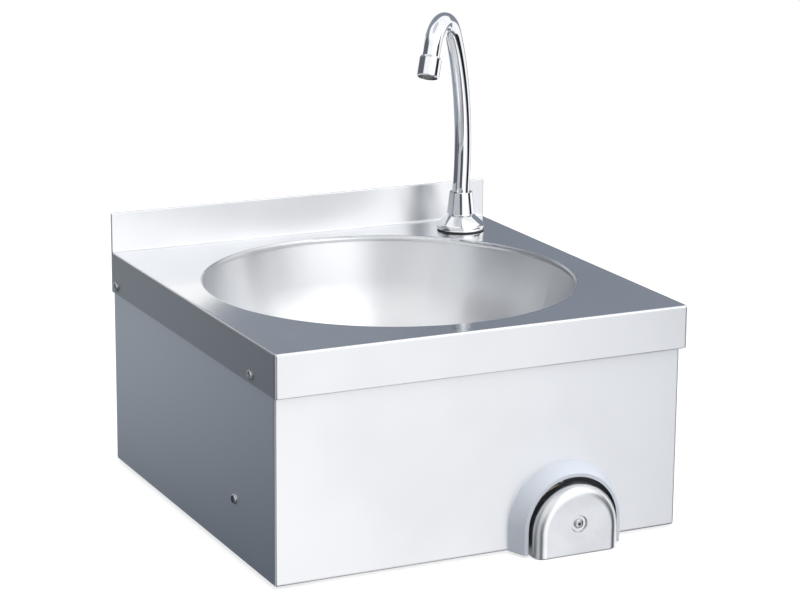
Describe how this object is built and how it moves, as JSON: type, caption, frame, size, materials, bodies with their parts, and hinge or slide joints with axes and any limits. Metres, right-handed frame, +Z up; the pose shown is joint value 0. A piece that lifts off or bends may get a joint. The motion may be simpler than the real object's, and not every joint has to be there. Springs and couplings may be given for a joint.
{
  "type": "hand wash sink",
  "caption": "Square wall-hung steel hand wash sink with a round bowl, a low upstand, a swan-neck spout and a knee push cover in the front panel.",
  "frame": {"origin": "centre of the four wall fixing holes in the casing's rear flanges, on the wall plane", "axes": "+Z up, +Y into the wall, so the front panel and the push cover face -Y; X runs across the sink"},
  "size_m": [0.4044, 0.4215, 0.4355],
  "materials": {
    "satin_steel": "satin ground stainless steel",
    "zinc_steel": "plain zinc-plated sheet",
    "screw_steel": "stainless screw heads",
    "spring_steel": "drawn and turned stainless steel",
    "hood_plastic": "fine matt moulding, light blue-grey",
    "waste_plastic": "white moulding",
    "insert_plastic": "dark moulding",
    "black_rubber": "plain black rubber",
    "bright_chrome": "polished chrome plate",
    "plain_brass": "turned brass",
    "hose_braid": "braided stainless wire",
    "hose_fittings": "nickel-plated brass"
  },
  "bodies": {
    "sink": {"top_deck": "satin_steel", "bowl": "satin_steel", "casing": "satin_steel", "waste_strainer": "satin_steel", "valve_bracket": "zinc_steel", "valve_washer": "zinc_steel", "tap_washer": "zinc_steel", "apron_screws": "screw_steel", "bracket_screws": "screw_steel", "hood_screws": "screw_steel", "waste_screw": "screw_steel", "push_hood": "hood_plastic", "waste_body": "waste_plastic", "waste_top_seal": "black_rubber", "waste_low_seal": "black_rubber", "tap_base_seal": "black_rubber", "tap_seal": "black_rubber", "rod_seal": "black_rubber", "hose_washers": "black_rubber", "tap_flange": "bright_chrome", "collar_nut": "bright_chrome", "valve_body": "plain_brass", "valve_bonnet": "plain_brass", "valve_lock_nut": "plain_brass", "inlet_union": "plain_brass", "outlet_elbow": "plain_brass", "tap_shank": "plain_brass", "tap_lock_nut": "plain_brass", "supply_hose": "hose_braid", "hose_ferrules": "hose_fittings", "hose_nuts": "hose_fittings"},
    "knee_push_parts": {"push_cover": "satin_steel", "cover_screw": "screw_steel", "push_rod": "spring_steel", "spring_cap": "spring_steel", "poppet_washer": "black_rubber", "valve_poppet": "plain_brass", "poppet_nut": "spring_steel", "return_spring": "spring_steel"},
    "swan_neck": {"spout_tube": "bright_chrome", "spout_spigot": "plain_brass", "spout_rings": "black_rubber", "spout_bush": "insert_plastic", "aerator_shell": "bright_chrome", "aerator_insert": "insert_plastic"}
  },
  "joints": [
    {"name": "knee_push", "type": "slide", "parent": "sink", "child": "knee_push_parts", "axis": [0, 1, 0], "range_m": [0, 0.008], "stiffness_N_per_m": 1500, "springref_m": -0.012, "deforming": ["return_spring"]},
    {"name": "spout_swivel", "type": "hinge", "parent": "sink", "child": "swan_neck", "pos_m": [0.1515, -0.0465, 0.11], "axis": [0, 0, 1], "range_deg": [-55, 145]}
  ]
}
